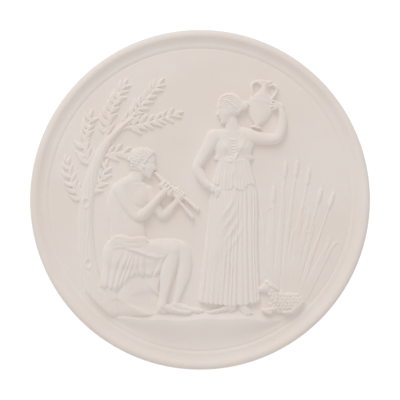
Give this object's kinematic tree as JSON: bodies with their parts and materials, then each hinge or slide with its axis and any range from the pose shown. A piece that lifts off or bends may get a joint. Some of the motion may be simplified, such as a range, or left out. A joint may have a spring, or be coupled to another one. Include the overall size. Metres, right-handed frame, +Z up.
{
  "type": "bisque porcelain plaque",
  "caption": "Round bisque porcelain wall plaque with a rolled rim, a pastoral scene in relief, and a foot ring behind that is drilled for a hanging cord.",
  "frame": {"origin": "on the foot ring's flat rear face, at the top, midway between the two cord holes, where the plaque rests on its wall", "axes": "+Z up, +Y into the wall, so the carved face looks along -Y, +X to the right as the face is seen"},
  "size_m": [0.28, 0.0222, 0.28],
  "materials": {
    "bisque": "unglazed, matte"
  },
  "bodies": {
    "root": {"plaque": "bisque"}
  },
  "joints": []
}
